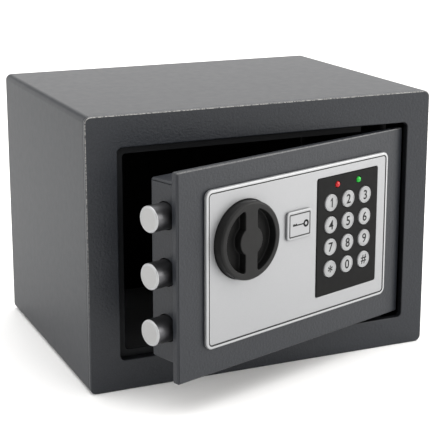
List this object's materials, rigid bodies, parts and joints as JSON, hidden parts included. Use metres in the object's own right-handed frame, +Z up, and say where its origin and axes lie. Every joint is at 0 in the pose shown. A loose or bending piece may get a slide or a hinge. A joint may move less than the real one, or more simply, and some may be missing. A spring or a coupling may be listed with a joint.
{
  "type": "room safe",
  "caption": "Small steel room safe with a hinged door, round turn knob, keypad, key override and sliding round bolts.",
  "frame": {"origin": "centre of the cabinet's underside", "axes": "+X to the right seen from the front, +Y from the front towards the rear panel, +Z up"},
  "size_m": [0.23, 0.2286, 0.1685],
  "materials": {
    "charcoal_paint": "fine orange-peel powder coat",
    "black_steel": "satin black paint",
    "satin_silver": "satin silver",
    "bright_steel": "fine satin nickel plate",
    "zinc_steel": "zinc plated",
    "brass": "turned",
    "black_plastic": "fine matte moulding",
    "key_silver": "silver lacquer",
    "black_felt": "needle felt",
    "red_lens": "tinted lens",
    "green_lens": "tinted lens",
    "circuit_green": "solder mask",
    "cell_wrap": "printed sleeve, plain",
    "red_plastic": "moulded"
  },
  "bodies": {
    "cabinet": {"cabinet_shell": "charcoal_paint", "front_frame": "charcoal_paint", "door_stop": "charcoal_paint", "rear_panel": "charcoal_paint", "floor_mat": "black_felt", "hinge_bracket_upper": "black_steel", "hinge_bracket_lower": "black_steel"},
    "door": {"door_plate": "charcoal_paint", "door_box": "charcoal_paint", "hinge_pin_upper": "black_steel", "hinge_pin_lower": "black_steel", "fascia_panel": "satin_silver", "keypad_panel": "black_plastic", "led_red": "red_lens", "led_green": "green_lens", "lock_barrel": "zinc_steel", "lock_nut": "zinc_steel", "shaft_bush": "brass", "carriage_guide_upper": "zinc_steel", "carriage_guide_lower": "zinc_steel", "solenoid_coil": "zinc_steel", "solenoid_bracket": "zinc_steel", "circuit_board": "circuit_green", "battery_tray": "black_plastic", "battery_cell_1": "cell_wrap", "battery_cell_2": "cell_wrap", "battery_cell_3": "cell_wrap", "battery_cell_4": "cell_wrap", "inner_cover": "black_steel", "cover_screw_1": "zinc_steel", "cover_screw_2": "zinc_steel", "cover_screw_3": "zinc_steel", "cover_screw_4": "zinc_steel"},
    "knob": {"knob": "black_plastic", "knob_shaft": "zinc_steel", "crank_arm": "zinc_steel"},
    "bolts": {"bolt_carriage": "zinc_steel", "bolt_upper": "bright_steel", "bolt_middle": "bright_steel", "bolt_lower": "bright_steel"},
    "lock_cover": {"lock_cover": "satin_silver"},
    "lock_plug": {"lock_plug": "brass", "lock_cam": "zinc_steel"},
    "plunger": {"solenoid_plunger": "bright_steel"},
    "battery_lid": {"battery_lid": "black_plastic"},
    "reset_button": {"reset_button": "red_plastic"},
    "key_1": {"key_1": "key_silver"},
    "key_2": {"key_2": "key_silver"},
    "key_3": {"key_3": "key_silver"},
    "key_4": {"key_4": "key_silver"},
    "key_5": {"key_5": "key_silver"},
    "key_6": {"key_6": "key_silver"},
    "key_7": {"key_7": "key_silver"},
    "key_8": {"key_8": "key_silver"},
    "key_9": {"key_9": "key_silver"},
    "key_star": {"key_star": "key_silver"},
    "key_0": {"key_0": "key_silver"},
    "key_hash": {"key_hash": "key_silver"}
  },
  "joints": [
    {"name": "door_swing", "type": "hinge", "parent": "cabinet", "child": "door", "pos_m": [0.085, -0.07875, 0.0841], "axis": [0, 0, 1], "range_deg": [-18.5, 86.5]},
    {"name": "knob_turn", "type": "hinge", "parent": "door", "child": "knob", "pos_m": [-0.0351, -0.12684, 0.0991], "axis": [-0.3173, 0.9483, 0], "range_deg": [0, 90]},
    {"name": "bolt_slide", "type": "slide", "parent": "door", "child": "bolts", "axis": [0.9483, 0.3173, 0], "range_m": [0, 0.0122]},
    {"name": "lock_cover_pull", "type": "slide", "parent": "door", "child": "lock_cover", "axis": [0.3173, -0.9483, 0], "range_m": [0, 0.03]},
    {"name": "lock_plug_turn", "type": "hinge", "parent": "door", "child": "lock_plug", "pos_m": [0.00635, -0.11298, 0.0999], "axis": [0.3173, -0.9483, 0], "range_deg": [0, 90]},
    {"name": "plunger_slide", "type": "slide", "parent": "door", "child": "plunger", "axis": [0, 0, -1], "range_m": [-0.004, 0]},
    {"name": "battery_lid_slide", "type": "slide", "parent": "door", "child": "battery_lid", "axis": [-0.9483, -0.3173, 0], "range_m": [0, 0.064]},
    {"name": "reset_press", "type": "slide", "parent": "door", "child": "reset_button", "axis": [0.3173, -0.9483, 0], "range_m": [0, 0.0015], "stiffness_N_per_m": 350},
    {"name": "press_key_1", "type": "slide", "parent": "door", "child": "key_1", "axis": [-0.3173, 0.9483, 0], "range_m": [0, 0.0006], "stiffness_N_per_m": 400},
    {"name": "press_key_2", "type": "slide", "parent": "door", "child": "key_2", "axis": [-0.3173, 0.9483, 0], "range_m": [0, 0.0006], "stiffness_N_per_m": 400},
    {"name": "press_key_3", "type": "slide", "parent": "door", "child": "key_3", "axis": [-0.3173, 0.9483, 0], "range_m": [0, 0.0006], "stiffness_N_per_m": 400},
    {"name": "press_key_4", "type": "slide", "parent": "door", "child": "key_4", "axis": [-0.3173, 0.9483, 0], "range_m": [0, 0.0006], "stiffness_N_per_m": 400},
    {"name": "press_key_5", "type": "slide", "parent": "door", "child": "key_5", "axis": [-0.3173, 0.9483, 0], "range_m": [0, 0.0006], "stiffness_N_per_m": 400},
    {"name": "press_key_6", "type": "slide", "parent": "door", "child": "key_6", "axis": [-0.3173, 0.9483, 0], "range_m": [0, 0.0006], "stiffness_N_per_m": 400},
    {"name": "press_key_7", "type": "slide", "parent": "door", "child": "key_7", "axis": [-0.3173, 0.9483, 0], "range_m": [0, 0.0006], "stiffness_N_per_m": 400},
    {"name": "press_key_8", "type": "slide", "parent": "door", "child": "key_8", "axis": [-0.3173, 0.9483, 0], "range_m": [0, 0.0006], "stiffness_N_per_m": 400},
    {"name": "press_key_9", "type": "slide", "parent": "door", "child": "key_9", "axis": [-0.3173, 0.9483, 0], "range_m": [0, 0.0006], "stiffness_N_per_m": 400},
    {"name": "press_key_star", "type": "slide", "parent": "door", "child": "key_star", "axis": [-0.3173, 0.9483, 0], "range_m": [0, 0.0006], "stiffness_N_per_m": 400},
    {"name": "press_key_0", "type": "slide", "parent": "door", "child": "key_0", "axis": [-0.3173, 0.9483, 0], "range_m": [0, 0.0006], "stiffness_N_per_m": 400},
    {"name": "press_key_hash", "type": "slide", "parent": "door", "child": "key_hash", "axis": [-0.3173, 0.9483, 0], "range_m": [0, 0.0006], "stiffness_N_per_m": 400}
  ],
  "couplings": [
    {"joint": "knob_turn", "follows": "bolt_slide", "rad_per_m": 128.75}
  ]
}
